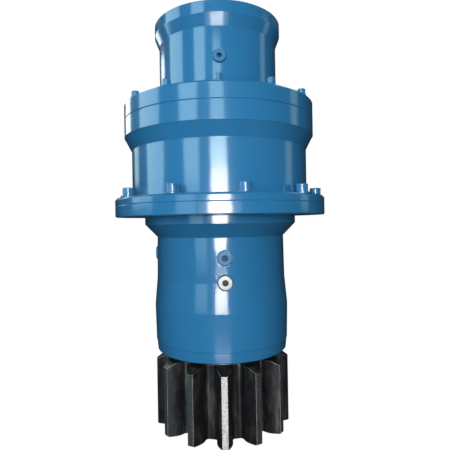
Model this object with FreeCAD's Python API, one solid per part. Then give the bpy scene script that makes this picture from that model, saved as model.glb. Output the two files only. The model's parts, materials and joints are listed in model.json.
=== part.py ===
"""Planetary slewing gearbox: two planetary stages, a spring-applied brake and an output pinion.

Frame: millimetres, +Z up along the gearbox axis, origin at the centre of the mounting face, which is
the underside of the mounting flange. The motor sits on top and the pinion hangs below. The front of
the gearbox, where its plugs are, faces -Y. Every node is written to parts/NODE.step.
"""
import FreeCAD
import Part
import math
import os

Vec = FreeCAD.Vector
AXIS = Vec(0, 0, 1)

# ---- driving dimensions: outer casings ----
FLANGE_R = 176.4            # mounting flange and case flange
FLANGE_TOP = 18.4           # joint between the mounting flange and the case flange
CASE_FLANGE_TOP = 30.2
PILOT_R = 128.1             # spigot that centres the gearbox in its machine
PILOT_DEPTH = 12.4
NECK_TOP_R = 107.7
NECK_TOP = -33.4
NECK_LOW_R = 108.8
NECK_LOW = -101.7
BULGE_R = 112.9
BULGE_TOP = -146.8
BULGE_LOW_R = 111.5
BULGE_LOW = -204.2
HOUSING_LOW_R = 109.3
HOUSING_LOW = -221.4
TURNED_STEP = 0.7           # shallow step where the bulge meets the turned lower end
CASE_R = 147.9
CASE_TOP = 108.9
BAND_R = 159.6
BAND_LOW = 130.7
PARTING = 159.5             # joint between the gear case and the motor adapter
BAND_TOP = 184.8
ADAPTER_R = 99.4
FLARE_LOW = 285.7
RIM_R = 106.5
RIM_LOW = 303.3
RIM_TOP = 321.5
EDGE_BREAK = 1.5            # chamfer on the machined outer edges
BAND_CHAMFER = 2.5          # chamfer on the top edge of the cover band

# ---- driving dimensions: output pinion ----
PINION_MODULE = 15.0
PINION_TEETH = 13
PINION_THINNING = 0.4       # taken off every tooth at the pitch circle, for backlash
PINION_TIP_R = 112.0
PINION_ROOT_R = 80.5
PINION_TOP = -232.0
PINION_LOW = -347.0
ROOT_FILLET = 6.0
TOOTH_TOP_CHAMFER = 12.0    # radial; the axial height is CHAMFER_SLOPE times this
TOOTH_LOW_CHAMFER = 1.5     # radial, on the lower end
CHAMFER_SLOPE = 0.58
FRONT_TOOTH_DEG = -88.7     # direction of the tooth that faces the front

# ---- driving dimensions: planetary stages ----
PRESSURE_ANGLE = math.radians(20)
PLANETS = 3
STAGE_2 = {"module": 4.0, "sun": 18, "planet": 21, "ring": 60, "low": 40.0, "high": 86.0}
STAGE_1 = {"module": 3.0, "sun": 18, "planet": 30, "ring": 78, "low": 114.5, "high": 150.0}
TOOTH_THINNING = 0.18       # taken off every tooth at the pitch circle, for backlash
FLANK_STEPS = 6

# ---- driving dimensions: fits and fasteners ----
BUSH_CLEARANCE = 0.08       # radial, planet bush on its pin
ROLLING_CLEARANCE = 0.15    # rollers and balls in their rings
CASE_SCREWS = 10
CASE_SCREW_PITCH_R = 163.0
FIRST_CASE_SCREW_DEG = -77.5
COVER_SCREWS = 12
COVER_SCREW_PITCH_R = 149.8
PLATE_SCREWS = 8
PLATE_SCREW_PITCH_R = 92.0
FIRST_PLATE_SCREW_DEG = 22.5
MOUNTING_HOLE_R = 6.75
PLUG_DEG = -86.7            # the plugs on the neck, just right of the front
FRONT_DEG = -89.4
BRAKE_PORT_DEG = -88.4
SIDE_PLUG_DEG = -180.0


# ---- shape helpers ----
def turned(points):
    """Solid of revolution about Z from (radius, height) points."""
    wire = Part.makePolygon([Vec(r, 0, z) for r, z in points + points[:1]])
    return Part.Face(wire).revolve(Vec(0, 0, 0), AXIS, 360)


def ring(inner, outer, low, high):
    body = Part.makeCylinder(outer, high - low, Vec(0, 0, low))
    if inner > 0:
        body = body.cut(Part.makeCylinder(inner, high - low, Vec(0, 0, low)))
    return body


def drum(radius, low, high, x=0.0, y=0.0):
    return Part.makeCylinder(radius, high - low, Vec(x, y, low))


def at_angle(shape, degrees):
    """A copy of a shape turned about Z."""
    copy = shape.copy()
    copy.rotate(Vec(0, 0, 0), AXIS, degrees)
    return copy


def around(shape, count, first=0.0):
    """Copies of a shape spaced evenly about Z."""
    return [at_angle(shape, first + 360.0 * i / count) for i in range(count)]


def cut_all(body, tools):
    return body.cut(Part.makeCompound(tools))


def extruded(points, low, high):
    """Prism from (x, y) points."""
    wire = Part.makePolygon([Vec(x, y, low) for x, y in points + points[:1]])
    return Part.Face(wire).extrude(Vec(0, 0, high - low))


def hexagon(across_flats, low, high, x=0.0, y=0.0):
    corner = across_flats / math.sqrt(3)
    angles = [math.radians(60 * i) for i in range(6)]
    return extruded([(x + corner * math.cos(a), y + corner * math.sin(a)) for a in angles], low, high)


def splined(core, crest, count, low, high, share=0.5):
    """Shaft section with straight-sided splines; share is the tooth's part of a pitch."""
    half = crest * math.sin(math.pi * share / count)
    key = Part.makeBox(crest - core + 1.5, 2 * half, high - low, Vec(core - 1.5, -half, low))
    shaft = drum(core, low, high).fuse(around(key, count))
    return shaft.common(drum(crest, low, high)).removeSplitter()


def single(shape):
    """The one solid of a shape that must be in one piece."""
    solids = shape.Solids
    if len(solids) != 1:
        raise ValueError("expected one solid, found " + str(len(solids)))
    return solids[0]


# ---- gear teeth ----
def involute(angle):
    return math.tan(angle) - angle


def half_tooth_angle(radius, module, teeth, thickness):
    """Half the angle that a tooth takes up at a radius, from its thickness at the pitch circle."""
    pitch_r = module * teeth / 2
    base_r = pitch_r * math.cos(PRESSURE_ANGLE)
    at_radius = math.acos(min(1.0, base_r / radius))
    return thickness / (2 * pitch_r) + involute(PRESSURE_ANGLE) - involute(at_radius)


def flank(module, teeth, root, tip, thickness):
    """One flank from root to tip, as (radius, half the tooth's angle there) points."""
    start = max(root, module * teeth / 2 * math.cos(PRESSURE_ANGLE))
    radii = [start + (tip - start) * i / FLANK_STEPS for i in range(FLANK_STEPS + 1)]
    points = [(r, half_tooth_angle(r, module, teeth, thickness)) for r in radii]
    if start > root:
        points.insert(0, (root, points[0][1]))
    return points


def gear_outline(module, teeth, root, tip, thickness, first_tooth):
    """Outline of a toothed wheel, as (x, y) points, with one tooth centred on first_tooth."""
    side = flank(module, teeth, root, tip, thickness)
    outline = []
    for tooth in range(teeth):
        centre = first_tooth + 2 * math.pi * tooth / teeth
        rising = [(r, centre - half) for r, half in side]
        falling = [(r, centre + half) for r, half in reversed(side)]
        outline += [(r * math.cos(a), r * math.sin(a)) for r, a in rising + falling]
    return outline


def wheel(module, teeth, low, high, first_tooth=0.0):
    """External gear of standard proportions."""
    pitch_r = module * teeth / 2
    thickness = math.pi * module / 2 - TOOTH_THINNING
    outline = gear_outline(module, teeth, pitch_r - 1.25 * module, pitch_r + module, thickness, first_tooth)
    return extruded(outline, low, high)


def ring_gear(module, teeth, outer, low, high, first_space=0.0):
    """Internal gear: a ring with the shape of a toothed wheel taken out of it."""
    pitch_r = module * teeth / 2
    thickness = math.pi * module / 2 + TOOTH_THINNING
    tip, root = pitch_r - 0.95 * module, pitch_r + 1.25 * module
    outline = gear_outline(module, teeth, tip, root, thickness, first_space)
    return drum(outer, low, high).cut(extruded(outline, low, high))


def centre_distance(stage):
    return stage["module"] * (stage["sun"] + stage["planet"]) / 2


def planet_angles():
    return [2 * math.pi * i / PLANETS for i in range(PLANETS)]


def planet_gear(stage, index, bore):
    """A planet in mesh with a sun that has a tooth at angle 0, standing at its place on the carrier."""
    alpha = planet_angles()[index]
    facing = alpha + math.pi + stage["sun"] / stage["planet"] * alpha + math.pi / stage["planet"]
    gear = wheel(stage["module"], stage["planet"], stage["low"], stage["high"], facing)
    gear = gear.cut(drum(bore, stage["low"], stage["high"]))
    distance = centre_distance(stage)
    gear.translate(Vec(distance * math.cos(alpha), distance * math.sin(alpha), 0))
    return gear


def planet_bush(stage, index, pin_r, bore):
    """Bronze bush pressed in a planet, a little longer than the planet so that it takes the thrust."""
    alpha, distance, over = planet_angles()[index], centre_distance(stage), 1.6
    bush = ring(pin_r + BUSH_CLEARANCE, bore, stage["low"] - over, stage["high"] + over)
    bush.translate(Vec(distance * math.cos(alpha), distance * math.sin(alpha), 0))
    return bush


def planet_pins(stage, pin_r, low, high):
    pin = drum(pin_r, low, high, centre_distance(stage))
    pin = pin.makeChamfer(1.0, [e for e in pin.Edges if e.Closed])
    return around(pin, PLANETS)


def carrier_webs(stage, inner, outer, low, high):
    """The bridges between a carrier's two plates, cut back round the planets."""
    tip = stage["module"] * (stage["planet"] / 2 + 1)
    reliefs = around(drum(tip + 3.0, low, high, centre_distance(stage)), PLANETS)
    return cut_all(ring(inner, outer, low, high), reliefs).Solids


# ---- bearings ----
def along(low, high, share):
    return low + (high - low) * share


def tapered_bearing(bore, outer, back, front, count):
    """Outer ring, rollers, cage and inner ring of a tapered roller bearing.

    back is the height of the face at the rollers' small ends, front of the face at their large ends.
    """
    up = 1.0 if front > back else -1.0
    width = abs(front - back)
    tilt = math.radians(13)
    middle = along(bore, outer, 0.49)
    length = 0.66 * width
    large_r = min(0.235 * (outer - bore), math.pi * middle / count * 0.80)
    small_r = large_r - length * math.tan(math.radians(2))
    start_r = middle - length / 2 * math.sin(tilt)
    start_z = 0.15 * width

    def place(radius, depth):
        return radius, back + up * depth

    def generatrix(side, extra, depth):
        """Radius of the rollers' outer (side 1) or inner (side -1) line at a depth from the back."""
        share = (depth - start_z) / (length * math.cos(tilt))
        roller = small_r + (large_r - small_r) * share
        return start_r + share * length * math.sin(tilt) + side * (roller + extra) / math.cos(tilt)

    cup_width = 0.88 * width
    clear = ROLLING_CLEARANCE
    cup = turned([place(outer, 0), place(generatrix(1, clear, 0), 0),
                  place(generatrix(1, clear, cup_width), cup_width), place(outer, cup_width)])
    rib_low = start_z + length * math.cos(tilt) + large_r * math.sin(tilt) + 0.6
    rib_r = generatrix(-1, clear, rib_low) + 0.55 * large_r
    small_rib = start_z - small_r * math.sin(tilt) - 1.2
    cone = turned([place(bore, 1.5), place(generatrix(-1, clear, small_rib), 1.5),
                   place(generatrix(-1, clear, small_rib), small_rib),
                   place(generatrix(-1, clear, rib_low), rib_low),
                   place(rib_r, rib_low), place(rib_r, width), place(bore, width)])
    r0, z0 = place(start_r, start_z)
    direction = Vec(math.sin(tilt), 0, up * math.cos(tilt))
    roller = Part.makeCone(small_r, large_r, length, Vec(r0, 0, z0), direction)
    pocket = Part.makeCone(small_r + 0.3, large_r + 0.3, length + 0.6,
                           Vec(r0, 0, z0) - direction * 0.3, direction)
    cage_half, end = 1.3, length + 2.5
    lean = [(start_r + t * math.sin(tilt) + side, start_z + t * math.cos(tilt))
            for t, side in ((-2.5, -cage_half), (end, -cage_half), (end, cage_half), (-2.5, cage_half))]
    cage = cut_all(turned([place(r, z) for r, z in lean]), around(pocket, count))
    return cup, around(roller, count), cage, cone


def ball_bearing(bore, outer, low, high, count):
    """Outer ring, balls and inner ring of a deep-groove ball bearing."""
    pitch_r = (bore + outer) / 2
    ball_r = 0.29 * (outer - bore)
    middle = (low + high) / 2
    race = Part.makeTorus(pitch_r, ball_r + ROLLING_CLEARANCE, Vec(0, 0, middle), AXIS)
    outer_ring = ring(pitch_r + 0.55 * ball_r, outer, low, high).cut(race)
    inner_ring = ring(bore, pitch_r - 0.55 * ball_r, low, high).cut(race)
    balls = around(Part.makeSphere(ball_r, Vec(pitch_r, 0, middle)), count)
    return outer_ring, balls, inner_ring


# ---- fasteners and plugs ----
def cap_screw(size, length, seat, pitch_r):
    """Socket-head cap screw standing on a seat, with its length below it."""
    head_r, head = size * 0.75, size
    top = seat + head
    body = drum(head_r, seat, top, pitch_r)
    body = body.makeChamfer(size * 0.07, [e for e in body.Edges if e.Closed and e.BoundBox.ZMin > top - 0.1])
    body = body.cut(hexagon(size * 0.83, top - size * 0.5, top, pitch_r))
    return body.fuse(drum(size / 2, seat - length, seat, pitch_r)).removeSplitter()


def washer(size, outer, thickness, seat, pitch_r):
    top = seat + thickness
    return drum(outer, seat, top, pitch_r).cut(drum(size / 2 + 0.25, seat, top, pitch_r))


def radial_tool(radius, start, end):
    """Cylinder lying along X, to be turned to its direction afterwards."""
    return Part.makeCylinder(radius, end - start, Vec(start, 0, 0), Vec(1, 0, 0))


def placed(shape, height, degrees):
    copy = shape.copy()
    copy.translate(Vec(0, 0, height))
    return at_angle(copy, degrees)


PLUG_THREAD_R = 8.2
PLUG_COLLAR_R = 11.0
PLUG_SEAT_R = 12.0
PLUG_COLLAR = 3.5
PLUG_SEAL = 1.5


def plug(seat, collar_r, thread_r, socket, thread=13.0):
    """Hexagon-socket screw plug with a collar, pointing along +X, seated at a radius."""
    top = seat + PLUG_SEAL + PLUG_COLLAR
    body = radial_tool(collar_r, seat + PLUG_SEAL, top)
    body = body.makeChamfer(0.8, [e for e in body.Edges if e.Closed and e.BoundBox.XMin > top - 0.1])
    body = body.fuse(radial_tool(thread_r, seat - thread, seat + PLUG_SEAL))
    recess = hexagon(socket, 0, 9.0)
    recess.rotate(Vec(0, 0, 0), Vec(0, 1, 0), 90)
    recess.translate(Vec(top - 7.0, 0, 0))
    return body.cut(recess).removeSplitter()


def plug_seal(seat, collar_r, thread_r):
    top = seat + PLUG_SEAL
    return radial_tool(collar_r - 0.4, seat, top).cut(radial_tool(thread_r, seat, top))


def plug_hole(seat, spot_r, thread_r, inward):
    """Tapped hole with a spot-faced seat for its sealing ring."""
    return radial_tool(thread_r, seat - inward, seat + 1).fuse(radial_tool(spot_r, seat, seat + 8))


def o_ring(radius, section_r, height):
    return Part.makeTorus(radius, section_r, Vec(0, 0, height), AXIS)


# Each plug: node, height, direction, seat radius, collar radius, thread radius, socket size.
BRAKE_PORT = ("brake_port_plug", 240.0, BRAKE_PORT_DEG, 97.7, 9.8, 6.6, 7.0)
LEVEL = ("oil_level_plug", -64.0, PLUG_DEG, 105.6, PLUG_COLLAR_R, PLUG_THREAD_R, 9.0)
DRAIN = ("oil_drain_plug", -100.5, PLUG_DEG, 106.4, PLUG_COLLAR_R, PLUG_THREAD_R, 9.0)
GREASE = ("grease_plug", -61.0, SIDE_PLUG_DEG, 105.6, PLUG_COLLAR_R, PLUG_THREAD_R, 9.0)
NECK_PLUGS = (LEVEL, DRAIN, GREASE)

# ---- inner dimensions shared by neighbouring parts ----
REGISTER_R = 140.0
REGISTER_LOW = 12.4
LOWER_BEARING = {"bore": 50.0, "outer": 90.0, "back": -157.0, "front": -206.0, "count": 17}
UPPER_BEARING = {"bore": 45.0, "outer": 80.0, "back": -47.0, "front": -4.5, "count": 17}
OUTPUT_RING_OUTER = 134.0
INPUT_RING_OUTER = 138.0
INPUT_RING_SEAT = 112.0
INPUT_RING_TOP = 157.5
ADAPTER_LOW = 158.0
INPUT_BEARING_OUTER = 55.0
INPUT_BEARING_LOW = 167.0
INPUT_BEARING_HIGH = 189.0
SEAL_SHAFT_R = 75.0
SEAL_LOW = -219.5
SEAL_HIGH = -207.0
JOINT_GROOVE_R = 145.0
COVER_GROOVE_R = 141.5
GROOVE_HALF = 2.0
GROOVE_DEPTH = 3.0
BRAKE_FLOOR = 192.0
DISC_PITCH = 3.0
DISC_THICKNESS = 2.8
FRICTION_DISCS = 4
BRAKE_SPLINES = 8
PISTON_LOW = 219.0
DISC_LAND_TOP = 218.8        # the splines that hold the steel discs end just under the piston
DISC_LAND_R = 76.0
DISC_GROOVE_R = 79.5
PISTON_STEP = 243.0
PISTON_TOP = 290.0
PORT_STEP = 240.0
BRAKE_BORE = 80.0
PISTON_BORE = 86.0
PLATE_SEAT = 300.0
PLATE_R = 98.0
PLATE_SPIGOT_LOW = 296.0
MOTOR_PILOT_R = 63.5
MOTOR_PILOT_LOW = 307.5
MOTOR_BOLT_PITCH_R = 81.0
MOTOR_BOLT_R = 5.1
SPRINGS = 10
SPRING_PITCH_R = 68.0
SPRING_SEAT = 262.0
SPRING_POCKET_R = 9.0
HUB_CORE_R = 36.0
HUB_CREST_R = 40.0
HUB_JOURNAL_R = 30.0
HUB_LOW = 165.5
HUB_TOP = 305.0
SUN_SHAFT_R = 20.0
SUN_SHAFT_TOP = 214.0
MOTOR_SPLINE_CORE = 14.0
MOTOR_SPLINE_CREST = 16.0
MOTOR_SPLINE_TEETH = 15
MOTOR_SPLINE_LOW = 262.0
OUTPUT_PIN_R = 16.0
OUTPUT_PLANET_BORE = 21.0
INPUT_PIN_R = 12.0
INPUT_PLANET_BORE = 16.0
CARRIER_2_LOW = 22.0
CARRIER_2_TOP = 99.0
CARRIER_2_R = 111.0
CARRIER_1_LOW = 101.5
CARRIER_1_TOP = 161.0
CARRIER_1_R = 100.0
PLATE_GAP = 2.0             # between a planet's face and the carrier plate
SHAFT_SPLINE_CORE = 38.5
SHAFT_SPLINE_CREST = 42.0
SHAFT_SPLINE_TEETH = 20
SUN_2_NECK_CORE = 26.0
SUN_2_NECK_CREST = 30.0
NUT_LOW = -3.0
NUT_HIGH = 13.0
SLIDING_FIT = 0.05


# ---- casings ----
def case_screw_tools(radius, low, high):
    return around(drum(radius, low, high, CASE_SCREW_PITCH_R), CASE_SCREWS, FIRST_CASE_SCREW_DEG)


def mounting_hole_tools():
    half_pitch = 180.0 / CASE_SCREWS
    hole = drum(MOUNTING_HOLE_R, -1, CASE_FLANGE_TOP + 1, CASE_SCREW_PITCH_R)
    return around(hole, CASE_SCREWS, FIRST_CASE_SCREW_DEG + half_pitch)


def neck_plug_tools():
    return [placed(plug_hole(p[3], PLUG_SEAT_R, p[5], 25.0), p[1], p[2]) for p in NECK_PLUGS]


def pinion_housing():
    """Lower casing: mounting flange, pilot spigot and the bearing housing for the pinion shaft."""
    lower, upper = LOWER_BEARING, UPPER_BEARING
    body = turned([
        (lower["outer"], HOUSING_LOW), (HOUSING_LOW_R - EDGE_BREAK, HOUSING_LOW),
        (HOUSING_LOW_R, HOUSING_LOW + EDGE_BREAK), (BULGE_LOW_R - TURNED_STEP, BULGE_LOW),
        (BULGE_LOW_R, BULGE_LOW + TURNED_STEP), (BULGE_R, BULGE_TOP),
        (NECK_LOW_R, NECK_LOW), (NECK_TOP_R, NECK_TOP), (PILOT_R, -PILOT_DEPTH), (PILOT_R, 0),
        (FLANGE_R - EDGE_BREAK, 0), (FLANGE_R, EDGE_BREAK), (FLANGE_R, FLANGE_TOP - 0.6),
        (FLANGE_R - 0.6, FLANGE_TOP), (REGISTER_R, FLANGE_TOP), (REGISTER_R, REGISTER_LOW),
        (124, REGISTER_LOW), (124, 4), (100, 4), (100, -1), (upper["outer"], -1),
        (upper["outer"], upper["back"]), (72, upper["back"]), (72, -55), (88, -60), (88, -140),
        (78, -147), (78, lower["back"]), (lower["outer"], lower["back"])])
    groove = ring(JOINT_GROOVE_R - GROOVE_HALF, JOINT_GROOVE_R + GROOVE_HALF,
                  FLANGE_TOP - GROOVE_DEPTH, FLANGE_TOP)
    tools = [groove] + mounting_hole_tools() + neck_plug_tools()
    tools += case_screw_tools(6.0, 2.0, FLANGE_TOP)
    return single(cut_all(body, tools))


def gear_case():
    """Middle casing: carries both ring gears, with the joint flange below and the wide band on top."""
    body = turned([
        (130, REGISTER_LOW), (REGISTER_R, REGISTER_LOW), (REGISTER_R, FLANGE_TOP),
        (FLANGE_R - 0.6, FLANGE_TOP), (FLANGE_R, FLANGE_TOP + 0.6),
        (FLANGE_R, CASE_FLANGE_TOP - 2 * EDGE_BREAK), (FLANGE_R - 2 * EDGE_BREAK, CASE_FLANGE_TOP),
        (CASE_R, CASE_FLANGE_TOP), (CASE_R, CASE_TOP), (BAND_R - 1, BAND_LOW - 1), (BAND_R, BAND_LOW),
        (BAND_R, PARTING - 0.8), (BAND_R - 0.8, PARTING), (INPUT_RING_OUTER, PARTING),
        (INPUT_RING_OUTER, INPUT_RING_SEAT), (OUTPUT_RING_OUTER, INPUT_RING_SEAT),
        (OUTPUT_RING_OUTER, 36), (130, 36)])
    tools = mounting_hole_tools() + case_screw_tools(6.5, FLANGE_TOP, CASE_FLANGE_TOP)
    tools += around(drum(4.0, 138, PARTING, COVER_SCREW_PITCH_R), COVER_SCREWS, FRONT_DEG)
    tools.append(ring(COVER_GROOVE_R - GROOVE_HALF, COVER_GROOVE_R + GROOVE_HALF,
                      PARTING - GROOVE_DEPTH, PARTING))
    return single(cut_all(body, tools))


def motor_adapter():
    """Upper casing: cover band, brake cylinder and the flared rim that carries the motor plate."""
    splines = splined(DISC_LAND_R, DISC_GROOVE_R, BRAKE_SPLINES, BRAKE_FLOOR, DISC_LAND_TOP)
    body = turned([
        (112, ADAPTER_LOW), (INPUT_RING_OUTER, ADAPTER_LOW), (INPUT_RING_OUTER, PARTING),
        (BAND_R - 0.8, PARTING),
        (BAND_R, PARTING + 0.8), (BAND_R, BAND_TOP - BAND_CHAMFER), (BAND_R - BAND_CHAMFER, BAND_TOP),
        (ADAPTER_R + 3, BAND_TOP), (ADAPTER_R, BAND_TOP + 3), (ADAPTER_R, FLARE_LOW),
        (RIM_R, RIM_LOW), (RIM_R, RIM_TOP - 1), (RIM_R - 1, RIM_TOP), (PLATE_R, RIM_TOP),
        (PLATE_R, PLATE_SEAT), (PISTON_BORE, PLATE_SEAT), (PISTON_BORE, PORT_STEP),
        (BRAKE_BORE, PORT_STEP), (BRAKE_BORE, DISC_LAND_TOP), (DISC_LAND_R - 1, DISC_LAND_TOP),
        (DISC_LAND_R - 1, BRAKE_FLOOR), (INPUT_BEARING_OUTER, BRAKE_FLOOR),
        (INPUT_BEARING_OUTER, INPUT_BEARING_LOW), (50, INPUT_BEARING_LOW), (50, 164), (62, 164),
        (62, 170), (112, 170)])
    tools = around(drum(4.5, PARTING - 4, BAND_TOP, COVER_SCREW_PITCH_R), COVER_SCREWS, FRONT_DEG)
    tools.append(splines)
    height, degrees, seat, collar_r, thread_r = BRAKE_PORT[1:6]
    tools.append(placed(plug_hole(seat, collar_r + 0.8, thread_r, 14.0), height, degrees))
    tools += around(drum(3.0, 286, PLATE_SEAT, PLATE_SCREW_PITCH_R), PLATE_SCREWS, FIRST_PLATE_SCREW_DEG)
    return single(cut_all(body, tools))


def motor_flange_plate():
    """Inset plate on top: pilot bore and tapped holes for the motor, and the springs' abutment."""
    body = turned([
        (35, PLATE_SPIGOT_LOW), (PISTON_BORE - 0.2, PLATE_SPIGOT_LOW), (PISTON_BORE - 0.2, PLATE_SEAT),
        (PLATE_R, PLATE_SEAT), (PLATE_R, RIM_TOP - 0.6), (PLATE_R - 0.6, RIM_TOP),
        (MOTOR_PILOT_R + 1, RIM_TOP), (MOTOR_PILOT_R, RIM_TOP - 1), (MOTOR_PILOT_R, MOTOR_PILOT_LOW),
        (35, MOTOR_PILOT_LOW)])
    tools = around(drum(MOTOR_BOLT_R, 299, RIM_TOP, MOTOR_BOLT_PITCH_R), 4, 45)
    for low, radius in ((PLATE_SEAT, 3.3), (RIM_TOP - 7, 5.5)):
        hole = drum(radius, low, RIM_TOP, PLATE_SCREW_PITCH_R)
        tools += around(hole, PLATE_SCREWS, FIRST_PLATE_SCREW_DEG)
    tools.append(ring(72.0, 75.0, RIM_TOP - 2.4, RIM_TOP))
    return single(cut_all(body, tools))


# ---- seals ----
def output_shaft_seal():
    """Radial lip seal between the bearing housing and the wear sleeve."""
    lip, outer = SEAL_SHAFT_R + SLIDING_FIT, LOWER_BEARING["outer"]
    return turned([
        (outer, SEAL_LOW), (outer, SEAL_HIGH), (outer - 3, SEAL_HIGH), (outer - 3, SEAL_LOW + 3),
        (lip + 4, SEAL_LOW + 3), (lip + 3, SEAL_LOW + 5), (lip + 3.4, SEAL_LOW + 8),
        (lip + 1.5, SEAL_LOW + 9), (lip, SEAL_LOW + 6), (lip + 1.5, SEAL_LOW + 3), (lip, SEAL_LOW + 1),
        (lip + 1, SEAL_LOW)])


def seal_garter_spring():
    return o_ring(SEAL_SHAFT_R + 4.3, 0.9, SEAL_LOW + 6.4)


# ---- output shaft ----
def polar(radius, angle):
    return Vec(radius * math.cos(angle), radius * math.sin(angle), PINION_LOW)


def arc(radius, start, end):
    middle = (start + end) / 2
    return Part.Arc(polar(radius, start), polar(radius, middle), polar(radius, end)).toShape()


def pinion_profile():
    """Outline of the output pinion: smooth involute flanks between arcs at the crests and the roots."""
    thickness = PINION_MODULE * math.pi / 2 - PINION_THINNING
    base_r = PINION_MODULE * PINION_TEETH / 2 * math.cos(PRESSURE_ANGLE) + 0.01
    pitch = 2 * math.pi / PINION_TEETH
    radii = [base_r + (PINION_TIP_R - base_r) * (i / FLANK_STEPS) ** 1.5 for i in range(FLANK_STEPS + 1)]
    half = [half_tooth_angle(r, PINION_MODULE, PINION_TEETH, thickness) for r in radii]
    edges = []
    for tooth in range(PINION_TEETH):
        centre = math.radians(FRONT_TOOTH_DEG) + pitch * tooth
        rising, falling = Part.BSplineCurve(), Part.BSplineCurve()
        rising.interpolate([polar(r, centre - a) for r, a in zip(radii, half)])
        falling.interpolate([polar(r, centre + a) for r, a in reversed(list(zip(radii, half)))])
        foot, after = centre + half[0], centre + pitch - half[0]
        before = centre - half[0]
        edges += [Part.LineSegment(polar(PINION_ROOT_R, before), polar(base_r, before)).toShape(),
                  rising.toShape(), arc(PINION_TIP_R, centre - half[-1], centre + half[-1]),
                  falling.toShape(),
                  Part.LineSegment(polar(base_r, foot), polar(PINION_ROOT_R, foot)).toShape(),
                  arc(PINION_ROOT_R, foot, after)]
    return Part.Wire(edges)


def pinion_teeth():
    """Output pinion's toothed body, with rounded roots and the ends of its teeth chamfered."""
    teeth = Part.Face(pinion_profile()).extrude(Vec(0, 0, PINION_TOP - PINION_LOW))
    roots = [e for e in teeth.Edges if len(e.Vertexes) == 2 and e.BoundBox.ZLength > 1
             and abs(math.hypot(e.Vertexes[0].X, e.Vertexes[0].Y) - PINION_ROOT_R) < 0.01]
    teeth = teeth.makeFillet(ROOT_FILLET, roots)
    beyond = 1.0
    edge = PINION_TIP_R + beyond
    low_edge = PINION_LOW + (TOOTH_LOW_CHAMFER + beyond) * CHAMFER_SLOPE
    top_edge = PINION_TOP - (TOOTH_TOP_CHAMFER + beyond) * CHAMFER_SLOPE
    blank = turned([(0, PINION_LOW), (PINION_TIP_R - TOOTH_LOW_CHAMFER, PINION_LOW), (edge, low_edge),
                    (edge, top_edge), (PINION_TIP_R - TOOTH_TOP_CHAMFER, PINION_TOP), (0, PINION_TOP)])
    return teeth.common(blank)


def output_pinion_shaft():
    """Pinion and shaft in one forging, from the pinion's lower face to the splined upper end."""
    lower, upper = LOWER_BEARING, UPPER_BEARING
    shaft = turned([
        (0, PINION_TOP - 1), (78, PINION_TOP - 1), (78, -228), (71, -226), (71, lower["front"]),
        (lower["bore"], lower["front"]), (lower["bore"], -156), (49, -150), (46, -60),
        (upper["bore"], -50), (upper["bore"], -4.5), (44, -4.5), (44, NUT_HIGH), (0, NUT_HIGH)])
    spline = splined(SHAFT_SPLINE_CORE, SHAFT_SPLINE_CREST, SHAFT_SPLINE_TEETH, NUT_HIGH - 1, 37.0)
    centre = Part.makeCone(14, 6, 16, Vec(0, 0, PINION_LOW))
    return single(pinion_teeth().fuse([shaft, spline]).cut(centre).removeSplitter())


def bearing_locknut():
    nut = ring(44.0, 60.0, NUT_LOW, NUT_HIGH)
    slot = Part.makeBox(6, 10, 20, Vec(56, -5, NUT_LOW - 1))
    return single(cut_all(nut, around(slot, 4)))


def output_carrier():
    """Carrier of the output stage: two plates, three bridges and a splined hub on the pinion shaft."""
    low_plate = STAGE_2["low"] - PLATE_GAP
    top_plate = STAGE_2["high"] + PLATE_GAP
    hub = ring(0, 56.0, NUT_HIGH + 1.5, CARRIER_2_LOW)
    body = ring(0, CARRIER_2_R, CARRIER_2_LOW, low_plate).fuse(
        [hub, ring(46.0, CARRIER_2_R, top_plate, CARRIER_2_TOP)]
        + carrier_webs(STAGE_2, 62.0, CARRIER_2_R - 1, low_plate, top_plate))
    socket = splined(SHAFT_SPLINE_CORE + 0.1, SHAFT_SPLINE_CREST + 0.1, SHAFT_SPLINE_TEETH, 0, 45, 0.52)
    pins = around(drum(OUTPUT_PIN_R, CARRIER_2_LOW, CARRIER_2_TOP, centre_distance(STAGE_2)), PLANETS)
    return single(cut_all(body, pins + [socket]).removeSplitter())


# ---- intermediate shaft ----
def input_carrier():
    """Carrier of the input stage; its lower plate drives the output stage's sun."""
    low_plate = STAGE_1["low"] - PLATE_GAP
    top_plate = STAGE_1["high"] + PLATE_GAP
    body = ring(0, CARRIER_1_R, CARRIER_1_LOW, low_plate).fuse(
        [ring(34.0, CARRIER_1_R, top_plate, CARRIER_1_TOP)]
        + carrier_webs(STAGE_1, 56.0, CARRIER_1_R - 1, low_plate, top_plate))
    socket = splined(SUN_2_NECK_CORE + 0.1, SUN_2_NECK_CREST + 0.1, 12, 90, 120, 0.52)
    pins = around(drum(INPUT_PIN_R, CARRIER_1_LOW, CARRIER_1_TOP, centre_distance(STAGE_1)), PLANETS)
    return single(cut_all(body, pins + [socket]).removeSplitter())


def output_sun_gear():
    teeth = wheel(STAGE_2["module"], STAGE_2["sun"], STAGE_2["low"] + 1, 90.0)
    neck = splined(SUN_2_NECK_CORE, SUN_2_NECK_CREST, 12, 89.0, STAGE_1["low"] - PLATE_GAP)
    return single(teeth.fuse(neck).cut(drum(9.0, 30, 120)))


# ---- input shaft and brake ----
def input_sun_shaft():
    teeth = wheel(STAGE_1["module"], STAGE_1["sun"], STAGE_1["low"] + 0.5, STAGE_1["high"] + 1)
    shaft = drum(SUN_SHAFT_R, STAGE_1["high"], SUN_SHAFT_TOP)
    keys = splined(SUN_SHAFT_R - 1, SUN_SHAFT_R + 2, 16, 170.0, SUN_SHAFT_TOP)
    return single(teeth.fuse([shaft, keys]).removeSplitter())


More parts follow.
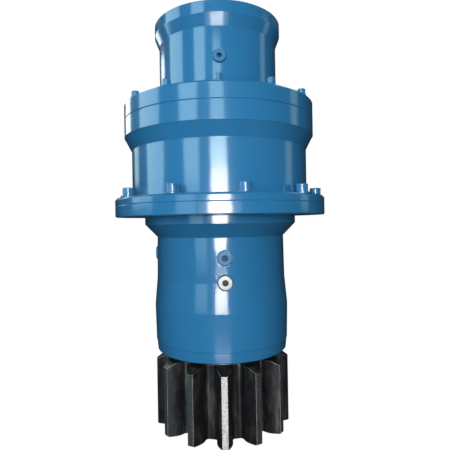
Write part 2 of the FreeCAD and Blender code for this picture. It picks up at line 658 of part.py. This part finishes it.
def input_coupling():
    """Splined sleeve: motor shaft above, brake discs round its middle, input sun shaft below."""
    body = splined(HUB_CORE_R, HUB_CREST_R, BRAKE_SPLINES, 191.0, 221.0).fuse(
        [drum(HUB_JOURNAL_R, HUB_LOW, 191.5), drum(HUB_JOURNAL_R, 220.5, HUB_TOP)])
    sun_socket = splined(SUN_SHAFT_R - 0.9, SUN_SHAFT_R + 2.1, 16, HUB_LOW - 1, SUN_SHAFT_TOP + 1, 0.52)
    sun_bore = drum(SUN_SHAFT_R + 0.1, HUB_LOW - 1, SUN_SHAFT_TOP + 1)
    motor_socket = splined(MOTOR_SPLINE_CORE, MOTOR_SPLINE_CREST, MOTOR_SPLINE_TEETH,
                           MOTOR_SPLINE_LOW, HUB_TOP + 1)
    return single(cut_all(body, [sun_socket, sun_bore, motor_socket]).removeSplitter())


def disc_low(index):
    return BRAKE_FLOOR + DISC_PITCH * index


def brake_steel_discs():
    """Discs keyed to the brake cylinder, one more than the friction discs."""
    outline = splined(75.6, 79.2, BRAKE_SPLINES, 0, DISC_THICKNESS, 0.46)
    disc = outline.cut(drum(44.0, 0, DISC_THICKNESS))
    lows = [disc_low(2 * i) for i in range(FRICTION_DISCS + 1)]
    return [placed(disc, low, 0) for low in lows]


def brake_friction_discs():
    """Discs keyed to the input coupling, between the steel discs."""
    opening = splined(HUB_CORE_R + 0.3, HUB_CREST_R + 0.3, BRAKE_SPLINES, 0, DISC_THICKNESS, 0.54)
    disc = drum(72.0, 0, DISC_THICKNESS).cut(opening)
    return [placed(disc, disc_low(2 * i + 1), 0) for i in range(FRICTION_DISCS)]


def brake_piston():
    """Stepped piston: oil under its step lifts it off the discs against the springs."""
    small, large = BRAKE_BORE - SLIDING_FIT, PISTON_BORE - SLIDING_FIT
    body = turned([(50, PISTON_LOW), (small, PISTON_LOW), (small, PISTON_STEP), (large, PISTON_STEP),
                   (large, PISTON_TOP), (50, PISTON_TOP)])
    tools = [ring(small - 3, small + 1, 226, 231), ring(large - 3, large + 1, 262, 267)]
    tools += around(drum(SPRING_POCKET_R, SPRING_SEAT, PISTON_TOP, SPRING_PITCH_R), SPRINGS)
    return single(cut_all(body, tools))


def piston_seals():
    small, large = BRAKE_BORE - SLIDING_FIT, PISTON_BORE - SLIDING_FIT
    return [ring(small - 2.9, small, 226.1, 230.9), ring(large - 2.9, large, 262.1, 266.9)]


def brake_springs():
    """Coil springs, each as a stack of closed turns between the piston and the motor plate."""
    wire_r, turns = 1.6, 7
    coil_r = SPRING_POCKET_R - wire_r - 0.8
    low, high = SPRING_SEAT + wire_r, PLATE_SPIGOT_LOW - wire_r
    helix = Part.makeHelix((high - low) / turns, high - low, coil_r)
    profile = Part.Wire([Part.makeCircle(wire_r, Vec(coil_r, 0, 0), Vec(0, 1, 0.001))])
    coil = Part.Wire(helix.Edges).makePipeShell([profile], True, True)
    coil.translate(Vec(SPRING_PITCH_R, 0, low))
    return around(Part.Solid(Part.Shell(coil.Faces)), SPRINGS)


# ---- nodes ----
def casing_nodes():
    nodes = {"pinion_housing": pinion_housing(), "gear_case": gear_case(),
             "motor_adapter": motor_adapter(), "motor_flange_plate": motor_flange_plate()}
    s2, s1 = STAGE_2, STAGE_1
    nodes["output_ring_gear"] = ring_gear(s2["module"], s2["ring"], OUTPUT_RING_OUTER, 36.0, 92.0)
    half_space = math.pi / s1["ring"]
    nodes["input_ring_gear"] = ring_gear(s1["module"], s1["ring"], INPUT_RING_OUTER,
                                         INPUT_RING_SEAT, INPUT_RING_TOP, half_space)
    return nodes


def fastener_nodes():
    case_seat = CASE_FLANGE_TOP + 2.5
    cover_seat = BAND_TOP + 2.5
    case_screw = cap_screw(12.0, 30.0, case_seat, CASE_SCREW_PITCH_R)
    cover_screw = cap_screw(8.0, 40.0, cover_seat, COVER_SCREW_PITCH_R)
    plate_screw = cap_screw(6.0, 22.0, RIM_TOP - 7, PLATE_SCREW_PITCH_R)
    case_washer = washer(12.0, 12.0, 2.5, CASE_FLANGE_TOP, CASE_SCREW_PITCH_R)
    cover_washer = washer(8.0, 6.9, 2.5, BAND_TOP, COVER_SCREW_PITCH_R)
    return {
        "case_screws": around(case_screw, CASE_SCREWS, FIRST_CASE_SCREW_DEG),
        "case_screw_washers": around(case_washer, CASE_SCREWS, FIRST_CASE_SCREW_DEG),
        "cover_screws": around(cover_screw, COVER_SCREWS, FRONT_DEG),
        "cover_screw_washers": around(cover_washer, COVER_SCREWS, FRONT_DEG),
        "motor_plate_screws": around(plate_screw, PLATE_SCREWS, FIRST_PLATE_SCREW_DEG)}


def plug_nodes():
    nodes, seals = {}, {}
    for name, height, degrees, seat, collar_r, thread_r, socket in (BRAKE_PORT,) + NECK_PLUGS:
        nodes[name] = placed(plug(seat, collar_r, thread_r, socket, 10.0), height, degrees)
        seals[name] = placed(plug_seal(seat, collar_r, thread_r), height, degrees)
    nodes["drain_plug_sealing_ring"] = seals.pop("oil_drain_plug")
    nodes["plug_sealing_rings"] = list(seals.values())
    return nodes


def seal_nodes():
    return {
        "case_joint_o_ring": o_ring(JOINT_GROOVE_R, 1.48, FLANGE_TOP - 1.5),
        "cover_joint_o_ring": o_ring(COVER_GROOVE_R, 1.48, PARTING - 1.5),
        "motor_face_o_ring": o_ring(73.5, 1.18, RIM_TOP - 1.2),
        "output_shaft_seal": output_shaft_seal(),
        "seal_garter_spring": seal_garter_spring(),
        "piston_seals": piston_seals()}


def bearing_nodes():
    nodes = {}
    for name, b in (("lower_bearing", LOWER_BEARING), ("upper_bearing", UPPER_BEARING)):
        parts = tapered_bearing(b["bore"], b["outer"], b["back"], b["front"], b["count"])
        for part, shape in zip(("outer_ring", "rollers", "cage", "inner_ring"), parts):
            nodes[name + "_" + part] = shape
    parts = ball_bearing(HUB_JOURNAL_R, INPUT_BEARING_OUTER, INPUT_BEARING_LOW, INPUT_BEARING_HIGH, 11)
    for part, shape in zip(("outer_ring", "balls", "inner_ring"), parts):
        nodes["input_bearing_" + part] = shape
    return nodes


def planet_nodes():
    nodes = {}
    stages = (("output", STAGE_2, OUTPUT_PIN_R, OUTPUT_PLANET_BORE, CARRIER_2_LOW, CARRIER_2_TOP),
              ("input", STAGE_1, INPUT_PIN_R, INPUT_PLANET_BORE, CARRIER_1_LOW, CARRIER_1_TOP))
    for name, stage, pin_r, bore, low, high in stages:
        for i in range(PLANETS):
            nodes[name + "_planet_" + str(i + 1)] = planet_gear(stage, i, bore)
            nodes[name + "_planet_bush_" + str(i + 1)] = planet_bush(stage, i, pin_r, bore)
        nodes[name + "_planet_pins"] = planet_pins(stage, pin_r, low, high)
    return nodes


def shaft_nodes():
    return {
        "output_pinion_shaft": output_pinion_shaft(),
        "seal_wear_sleeve": ring(71.0, SEAL_SHAFT_R, -225.0, -206.5),
        "bearing_locknut": bearing_locknut(),
        "output_carrier": output_carrier(),
        "input_carrier": input_carrier(),
        "output_sun_gear": output_sun_gear(),
        "input_sun_shaft": input_sun_shaft(),
        "input_coupling": input_coupling(),
        "brake_steel_discs": brake_steel_discs(),
        "brake_friction_discs": brake_friction_discs(),
        "brake_piston": brake_piston(),
        "brake_springs": brake_springs()}


def write(name, shape):
    if isinstance(shape, list):
        shape = Part.makeCompound([s.Solids[0] for s in shape])
    if not shape.isValid():
        raise ValueError(name + " is not a valid shape")
    shape.exportStep("parts/" + name + ".step")
    print(name, len(shape.Solids), round(shape.Volume / 1000, 1), "cm3")


def main():
    os.makedirs("parts", exist_ok=True)
    groups = (casing_nodes, fastener_nodes, plug_nodes, seal_nodes, bearing_nodes, planet_nodes, shaft_nodes)
    for group in groups:
        for name, shape in group().items():
            write(name, shape)


main()
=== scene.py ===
"""Looks of the slewing gearbox: gloss blue enamel on its casings and a blackened steel pinion."""

import json
import math

import bpy
from mathutils import Matrix, Vector


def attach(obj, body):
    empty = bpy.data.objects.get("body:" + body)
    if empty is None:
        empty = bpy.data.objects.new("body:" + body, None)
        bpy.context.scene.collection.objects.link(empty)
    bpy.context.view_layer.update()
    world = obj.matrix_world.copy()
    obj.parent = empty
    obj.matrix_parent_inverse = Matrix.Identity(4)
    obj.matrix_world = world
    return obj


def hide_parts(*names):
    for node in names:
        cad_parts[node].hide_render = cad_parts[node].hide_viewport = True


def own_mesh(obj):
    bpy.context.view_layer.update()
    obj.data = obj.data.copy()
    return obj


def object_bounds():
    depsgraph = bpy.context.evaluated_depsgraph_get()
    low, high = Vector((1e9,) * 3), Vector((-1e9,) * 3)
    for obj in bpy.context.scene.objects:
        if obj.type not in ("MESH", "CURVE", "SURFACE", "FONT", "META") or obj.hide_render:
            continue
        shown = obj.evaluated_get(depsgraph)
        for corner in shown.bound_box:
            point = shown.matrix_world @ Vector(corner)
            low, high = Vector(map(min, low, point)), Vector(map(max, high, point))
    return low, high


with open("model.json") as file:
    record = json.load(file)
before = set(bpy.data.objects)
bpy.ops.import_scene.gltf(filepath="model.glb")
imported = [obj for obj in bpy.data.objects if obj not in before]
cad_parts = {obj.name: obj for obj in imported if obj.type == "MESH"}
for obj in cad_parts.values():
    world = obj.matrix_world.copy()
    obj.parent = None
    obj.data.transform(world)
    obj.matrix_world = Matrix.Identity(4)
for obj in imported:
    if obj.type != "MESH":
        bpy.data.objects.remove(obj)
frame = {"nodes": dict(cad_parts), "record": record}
cad_low, cad_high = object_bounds()
NODES = frame["nodes"]

# ---- camera: level, close in front, on the gearbox's axis; lengths in metres ----
CAMERA_DISTANCE = 0.7427
CAMERA_HEIGHT = -0.0105
CLIP_START = 0.01
SENSOR = 36.0               # millimetres
PICTURE = 450.0             # width and height of the picture; the next three are in the same unit
FOCAL_PIXELS = 428.0
AXIS_OFFSET = 4.9           # how far left of the picture's middle the axis stands
HORIZON_OFFSET = 2.7        # how far above the picture's middle the horizon is
ROLL = math.radians(-0.95)

# ---- light: lamps stand at one of three distances from the gearbox, in metres ----
LAMP_DISTANCE = 2.2
NEAR_LAMP = 0.9
FAR_LAMP = 9.0
ROOM_LIGHT = 0.03
ROOM_COLOUR = (0.45, 0.78, 1.0, 1.0)
SKY = (0.60, 0.92, 1.0)
PALE_SKY = (0.8, 0.93, 1.0)
CLOUD = (0.9, 0.96, 1.0)
WHITE = (1, 1, 1, 1)
FLOOR_REACH = 6.0           # from the gearbox's axis to the floor's edges


def make_camera():
    data = bpy.data.cameras.new("camera")
    data.sensor_width = SENSOR
    data.lens = SENSOR * FOCAL_PIXELS / PICTURE
    data.shift_x = AXIS_OFFSET / PICTURE
    data.shift_y = -HORIZON_OFFSET / PICTURE
    data.clip_start = CLIP_START
    camera = bpy.data.objects.new("camera", data)
    bpy.context.scene.collection.objects.link(camera)
    turn = Matrix.Rotation(math.radians(90), 4, "X") @ Matrix.Rotation(ROLL, 4, "Z")
    camera.matrix_world = Matrix.Translation((0, -CAMERA_DISTANCE, CAMERA_HEIGHT)) @ turn
    bpy.context.scene.camera = camera


# ---- node helpers ----
EDGE_SAMPLES = 8
ROUNDING_SAMPLES = 6


class Graph:
    """A material's node tree, with short calls for what is put in front of its Principled shader."""

    def __init__(self, name):
        self.material = bpy.data.materials.new(name)
        self.material.use_nodes = True
        self.tree = self.material.node_tree
        self.shader = self.tree.nodes["Principled BSDF"]
        self.place = self.tree.nodes.new("ShaderNodeTexCoord").outputs["Object"]

    def set(self, **values):
        """Sets the shader's own sockets; an underscore stands for the space in a socket's name."""
        for name, value in values.items():
            self.shader.inputs[name.replace("_", " ")].default_value = value

    def link(self, source, target):
        self.tree.links.new(source, target)

    def math(self, operation, first, second=0.0, third=0.0, clamp=False):
        """One sum over numbers or other nodes' outputs."""
        node = self.tree.nodes.new("ShaderNodeMath")
        node.operation = operation
        node.use_clamp = clamp
        for socket, value in zip(node.inputs, (first, second, third)):
            if isinstance(value, (int, float)):
                socket.default_value = value
            else:
                self.link(value, socket)
        return node.outputs[0]

    def noise(self, scale, detail=3.0, roughness=0.5, stretch=(1, 1, 1)):
        """Noise from 0 to 1 with about scale grains to the metre, times stretch along each axis."""
        mapping = self.tree.nodes.new("ShaderNodeMapping")
        mapping.inputs["Scale"].default_value = stretch
        self.link(self.place, mapping.inputs["Vector"])
        node = self.tree.nodes.new("ShaderNodeTexNoise")
        node.inputs["Scale"].default_value = scale
        node.inputs["Detail"].default_value = detail
        node.inputs["Roughness"].default_value = roughness
        self.link(mapping.outputs[0], node.inputs["Vector"])
        return node.outputs["Fac"]

    def ramp(self, value, start, end):
        """Grey that runs between two stops of (value, grey) and stays level outside them."""
        node = self.tree.nodes.new("ShaderNodeValToRGB")
        for element, (position, grey) in zip(node.color_ramp.elements, (start, end)):
            element.position = position
            element.color = (grey, grey, grey, 1.0)
        self.link(value, node.inputs[0])
        return node.outputs[0]

    def mix(self, share, first, second):
        """First colour where share is 0, second where it is 1; each is a tuple or a node's output."""
        node = self.tree.nodes.new("ShaderNodeMix")
        node.data_type = "RGBA"
        self.link(share, node.inputs[0])
        colour_sockets = (node.inputs[6], node.inputs[7])
        for socket, value in zip(colour_sockets, (first, second)):
            if isinstance(value, tuple):
                socket.default_value = (*value, 1.0)
            else:
                self.link(value, socket)
        return node.outputs[2]

    def radius(self):
        """Distance from the gearbox's axis, in metres."""
        split = self.tree.nodes.new("ShaderNodeSeparateXYZ")
        self.link(self.place, split.inputs[0])
        x, y = split.outputs[0], split.outputs[1]
        squares = self.math("MULTIPLY_ADD", y, y, self.math("MULTIPLY", x, x))
        return self.math("SQRT", squares)

    def edges(self, width, strength):
        """1 on sharp outer and inner edges of the mesh, 0 on its faces."""
        bevel = self.tree.nodes.new("ShaderNodeBevel")
        bevel.samples = EDGE_SAMPLES
        bevel.inputs["Radius"].default_value = width
        geometry = self.tree.nodes.new("ShaderNodeNewGeometry")
        dot = self.tree.nodes.new("ShaderNodeVectorMath")
        dot.operation = "DOT_PRODUCT"
        self.link(bevel.outputs[0], dot.inputs[0])
        self.link(geometry.outputs["Normal"], dot.inputs[1])
        bend = self.math("SUBTRACT", 1.0, dot.outputs["Value"])
        return self.math("MULTIPLY", bend, strength, clamp=True)

    def rounded(self, width):
        """Normals that round the sharp edges of the mesh over a width, so that they catch the light."""
        bevel = self.tree.nodes.new("ShaderNodeBevel")
        bevel.samples = ROUNDING_SAMPLES
        bevel.inputs["Radius"].default_value = width
        return bevel.outputs[0]

    def bump(self, height, depth, below=None):
        """Normals that stand height out by up to depth metres, on top of the normals below."""
        node = self.tree.nodes.new("ShaderNodeBump")
        node.inputs["Distance"].default_value = depth
        node.inputs["Strength"].default_value = 1.0
        self.link(height, node.inputs["Height"])
        if below is not None:
            self.link(below, node.inputs["Normal"])
        return node.outputs[0]

    def finish(self, colour, roughness=None, normal=None, metallic=None):
        """Wires up the shader's inputs and hands over the material."""
        wires = {"Base Color": colour, "Roughness": roughness, "Normal": normal, "Metallic": metallic}
        for name, source in wires.items():
            if source is not None:
                self.link(source, self.shader.inputs[name])
        return self.material


# ---- materials: darker and lighter tone of each mottled surface; radii from the axis in metres ----
PAINT = ((0.024, 0.170, 0.372), (0.033, 0.206, 0.438))
ZINC = ((0.18, 0.19, 0.20), (0.40, 0.41, 0.42))
BLACK_OXIDE = ((0.011, 0.011, 0.013), (0.048, 0.047, 0.052))
RUBBED_STEEL = ((0.25, 0.25, 0.26), (0.80, 0.80, 0.82))
RUBBER = ((0.010, 0.010, 0.010), (0.028, 0.028, 0.030))
FLOOR = ((0.02, 0.02, 0.02), (0.03, 0.03, 0.03))
OIL_STAIN = (0.17, 0.162, 0.138)
OXIDE_METALLIC = 0.65
# Painted shade that darkens the plugs' sockets, and the roughness inside them.
SOCKET_SHADE = (0.012, 0.014, 0.018)
SOCKET_ROUGHNESS = (0.6, 0.6, 0.6)
WORN_ROUGHNESS = (0.2, 0.2, 0.2)
DRAIN_SOCKET = 0.1095       # the plugs' sockets lie inside these radii
NECK_SOCKET = 0.1085
PORT_SOCKET = 0.1005
CREST_RADIUS = 0.11165      # the pinion's tooth crests lie outside this radius

# Bare metals: two tones, roughness, grains to the metre, and the grain's stretch along each axis.
EVEN = (1, 1, 1)
METALS = {
    "machined_steel": ((0.36, 0.37, 0.38), (0.60, 0.61, 0.62), 0.3, 90.0, (1, 1, 8)),
    "gear_steel": ((0.30, 0.31, 0.33), (0.50, 0.51, 0.53), 0.3, 120.0, EVEN),
    "bearing_steel": ((0.58, 0.59, 0.61), (0.74, 0.75, 0.77), 0.14, 60.0, EVEN),
    "pressed_steel": ((0.40, 0.40, 0.41), (0.56, 0.56, 0.57), 0.36, 150.0, EVEN),
    "cast_steel": ((0.10, 0.10, 0.11), (0.22, 0.22, 0.23), 0.5, 180.0, EVEN),
    "spring_steel": ((0.12, 0.12, 0.13), (0.26, 0.26, 0.27), 0.34, 150.0, EVEN),
    "bronze": ((0.48, 0.30, 0.13), (0.66, 0.45, 0.22), 0.3, 120.0, EVEN),
    "sintered_bronze": ((0.20, 0.14, 0.09), (0.36, 0.26, 0.17), 0.6, 500.0, EVEN),
}


def blue_paint():
    """Thick gloss enamel: a clear coat with orange peel and slow waves over a mottled blue."""
    g = Graph("gloss_blue_enamel")
    g.set(Coat_Weight=1.0, Coat_Roughness=0.12, Coat_IOR=1.6, Specular_IOR_Level=0.12)
    colour = g.mix(g.noise(9.0, detail=4.0), *PAINT)
    orange_peel = g.bump(g.noise(420.0, detail=1.0), depth=0.00003, below=g.rounded(0.0009))
    waves = g.bump(g.noise(30.0, detail=2.0), depth=0.00022, below=orange_peel)
    g.link(waves, g.shader.inputs["Coat Normal"])
    roughness = g.ramp(g.noise(60.0, detail=5.0, roughness=0.6), (0.3, 0.30), (0.75, 0.42))
    return g.finish(colour, roughness, waves)


def plug_finish(name, tones, metallic, socket_radius, socket_shade):
    """Screw plug whose socket, inside a radius from the gearbox's axis, is darkened by a share of painted
    shade.
    """
    g = Graph(name)
    g.set(Metallic=metallic, IOR=1.4)
    grain = g.noise(150.0, detail=4.0)
    socket = g.math("LESS_THAN", g.radius(), socket_radius)
    # The socket's dark colour is painted shade in its recess.
    colour = g.mix(g.math("MULTIPLY", socket, socket_shade), g.mix(grain, *tones), SOCKET_SHADE)
    roughness = g.mix(socket, g.ramp(grain, (0.3, 0.30), (0.7, 0.42)), SOCKET_ROUGHNESS)
    return g.finish(colour, roughness, g.bump(grain, depth=0.00005, below=g.rounded(0.0006)))


def blackened_steel():
    """Oil-stained black pinion, rubbed bare on its tooth crests and worn along its edges."""
    g = Graph("blackened_steel")
    g.set(Specular_IOR_Level=0.5)
    cloud = g.noise(34.0, detail=6.0, roughness=0.65)
    stains = g.noise(75.0, detail=5.0, roughness=0.7, stretch=(1, 1, 0.25))
    dark = g.mix(cloud, *BLACK_OXIDE)
    dark = g.mix(g.ramp(stains, (0.50, 0.0), (0.68, 0.6)), dark, OIL_STAIN)
    crest = g.math("GREATER_THAN", g.radius(), CREST_RADIUS)
    patches = g.ramp(g.noise(160.0), (0.3, 0.25), (0.7, 1.0))
    wear = g.math("MULTIPLY", g.edges(width=0.0012, strength=8.0), patches)
    rubbed = g.ramp(g.noise(260.0, roughness=0.6, stretch=(1, 1, 1.6)), (0.38, 0.45), (0.50, 0.95))
    bare = g.math("MAXIMUM", g.math("MULTIPLY", crest, rubbed), wear, clamp=True)
    scratches = g.noise(240.0, detail=4.0, roughness=0.7, stretch=(1, 1, 4.0))
    colour = g.mix(bare, dark, g.mix(scratches, *RUBBED_STEEL))
    polished = g.mix(wear, g.ramp(scratches, (0.3, 0.26), (0.8, 0.36)), WORN_ROUGHNESS)
    roughness = g.mix(bare, g.ramp(cloud, (0.3, 0.30), (0.7, 0.50)), polished)
    waves = g.bump(cloud, depth=0.0001, below=g.rounded(0.0011))
    normal = g.bump(scratches, depth=0.00005, below=waves)
    metallic = g.math("MULTIPLY_ADD", bare, 1.0 - OXIDE_METALLIC, OXIDE_METALLIC)
    return g.finish(colour, roughness, normal, metallic)


def metal(name, low, high, roughness, scale, stretch):
    """Bare metal whose colour and gloss vary a little along its grain."""
    g = Graph(name)
    g.set(Metallic=1.0)
    grain = g.noise(scale, detail=5.0, roughness=0.6, stretch=stretch)
    colour = g.mix(grain, low, high)
    rough = g.ramp(grain, (0.25, roughness * 0.8), (0.8, roughness * 1.35))
    return g.finish(colour, rough, g.bump(grain, depth=0.00002, below=g.rounded(0.0004)))


def rubber():
    g = Graph("nitrile_rubber")
    grain = g.noise(300.0, detail=4.0)
    colour = g.mix(grain, *RUBBER)
    roughness = g.ramp(grain, (0.3, 0.5), (0.8, 0.75))
    return g.finish(colour, roughness, g.bump(grain, depth=0.00003))


def dress():
    """Gives every node the material of its slot in the record, and the painted plugs their own."""
    made = {
        "blue_paint": blue_paint(),
        "blackened_steel": blackened_steel(),
        # The last number of each plug is the share of painted shade in its socket.
        "bright_steel": plug_finish("zinc_plated_plug", ZINC, 1.0, DRAIN_SOCKET, 0.8),
        "nitrile_rubber": rubber(),
        "neck_plug": plug_finish("painted_neck_plug", PAINT, 0.0, NECK_SOCKET, 0.6),
        "port_plug": plug_finish("painted_port_plug", PAINT, 0.0, PORT_SOCKET, 0.7)}
    for name, look in METALS.items():
        made[name] = metal(name, *look)
    slots = {s["node"]: s["material_slot"] for s in frame["record"]["subparts"]}
    slots.update(oil_level_plug="neck_plug", grease_plug="neck_plug", brake_port_plug="port_plug")
    for name, node in NODES.items():
        for slot in node.material_slots:
            slot.material = made[slots[name]]


def brake_springs():
    """Copy of the CAD springs on its own mesh, hung from the housing's body in place of the hidden CAD
    springs.
    """
    cad = NODES["brake_springs"]
    coils = bpy.data.objects.new("brake_spring_coils", cad.data.copy())
    bpy.context.scene.collection.objects.link(coils)
    coils.matrix_world = cad.matrix_world.copy()
    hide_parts("brake_springs")
    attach(coils, "housing")
    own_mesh(coils)


# ---- stage ----
def direction(azimuth, elevation):
    """Unit vector from the gearbox towards a lamp; azimuth 0 is the camera's side, 90 its right."""
    a, e = math.radians(azimuth), math.radians(elevation)
    return Vector((math.sin(a) * math.cos(e), -math.cos(a) * math.cos(e), math.sin(e)))


def panel(name, azimuth, elevation, wide, high, radiance, tint=(1, 1, 1), distance=LAMP_DISTANCE):
    """Rectangular lamp that takes up wide by high degrees as seen from the gearbox."""
    data = bpy.data.lights.new(name, "AREA")
    data.shape = "RECTANGLE"
    data.size = 2 * distance * math.tan(math.radians(wide / 2))
    data.size_y = 2 * distance * math.tan(math.radians(high / 2))
    data.energy = radiance * math.pi * data.size * data.size_y
    data.color = tint
    lamp = bpy.data.objects.new(name, data)
    bpy.context.scene.collection.objects.link(lamp)
    towards = direction(azimuth, elevation)
    lamp.location = Vector((0, 0, CAMERA_HEIGHT)) + towards * distance
    lamp.visible_camera = False
    lamp.rotation_mode = "QUATERNION"
    lamp.rotation_quaternion = towards.to_track_quat("Z", "Y")
    return lamp


def world_light():
    """White backdrop for the camera, and a dim even room for everything else."""
    world = bpy.data.worlds.new("studio")
    bpy.context.scene.world = world
    world.use_nodes = True
    tree = world.node_tree
    room = tree.nodes["Background"]
    room.inputs["Color"].default_value = ROOM_COLOUR
    room.inputs["Strength"].default_value = ROOM_LIGHT
    backdrop = tree.nodes.new("ShaderNodeBackground")
    backdrop.inputs["Color"].default_value = WHITE
    path = tree.nodes.new("ShaderNodeLightPath")
    mix = tree.nodes.new("ShaderNodeMixShader")
    tree.links.new(path.outputs["Is Camera Ray"], mix.inputs[0])
    tree.links.new(room.outputs[0], mix.inputs[1])
    tree.links.new(backdrop.outputs[0], mix.inputs[2])
    tree.links.new(mix.outputs[0], tree.nodes["World Output"].inputs[0])


def floor():
    """Pale floor that glows evenly and only the camera sees: it takes no shadow and lights nothing."""
    mesh = bpy.data.meshes.new("floor")
    r = FLOOR_REACH
    corners = [(-r, -r, 0), (r, -r, 0), (r, r, 0), (-r, r, 0)]
    mesh.from_pydata(corners, [], [(0, 1, 2, 3)])
    plane = bpy.data.objects.new("floor", mesh)
    bpy.context.scene.collection.objects.link(plane)
    plane.location.z = cad_low.z
    g = Graph("pale_floor")
    g.set(Roughness=0.9, Specular_IOR_Level=0.0, Emission_Strength=1.0, Emission_Color=WHITE)
    mesh.materials.append(g.finish(g.mix(g.noise(3.0), *FLOOR)))
    plane.visible_glossy = False
    plane.visible_diffuse = False
    plane.visible_shadow = False


def lamps():
    """Panels of azimuth, elevation, width and height in degrees, radiance and tint."""
    panel("front_window", 0.0, 1.7, 20, 14.3, 17.0, (1.0, 0.93, 0.88))
    panel("front_window_middle", -0.5, 11.2, 19, 4.7, 11.0, (0.72, 0.97, 1.0))
    panel("front_window_top", -1.5, 21.3, 14, 15.4, 4.2, SKY)
    panel("bright_floor", 1.0, -25.2, 24, 8.4, 4.4, distance=FAR_LAMP)
    panel("left_window", -33.0, 20.5, 19, 29, 4.2, SKY)
    panel("low_left_window", -33.0, 0.25, 20, 11.5, 1.9, SKY)
    panel("right_window", 95.0, 17.0, 12, 30, 1.1, SKY)
    panel("rear_ceiling", 180.0, 48.0, 70, 18, 2.4, CLOUD)
    # These add reflections in the gloss coat, but no light on the colour under it.
    for mirrored in (panel("near_window", 0.0, 2.4, 22, 3.2, 13.0, (1.0, 1.0, 0.97), NEAR_LAMP),
                     panel("near_window_glow", 0.0, 2.4, 38, 3.2, 2.2, (0.8, 0.95, 1.0), NEAR_LAMP),
                     panel("far_left_window", -85.0, 19.0, 30, 32, 3.6, SKY),
                     panel("rear_left_window", -132.0, 20.5, 17, 14, 4.0, (0.85, 0.97, 1.0)),
                     panel("rear_left_window_foot", -129.0, 10.0, 15, 7, 1.6, SKY)):
        mirrored.visible_diffuse = False
    # These light the colour, but aren't seen in the gloss.
    for fill in (panel("front_fill", 0.0, 14.0, 80, 60, 0.16, PALE_SKY),
                 panel("rear_fill", 180.0, 14.0, 50, 60, 1.0, PALE_SKY),
                 panel("ceiling", 0.0, 80.0, 60, 40, 1.2, CLOUD)):
        fill.visible_glossy = False


bpy.context.scene.view_settings.view_transform = "Standard"
make_camera()
world_light()
lamps()
floor()
dress()
brake_springs()
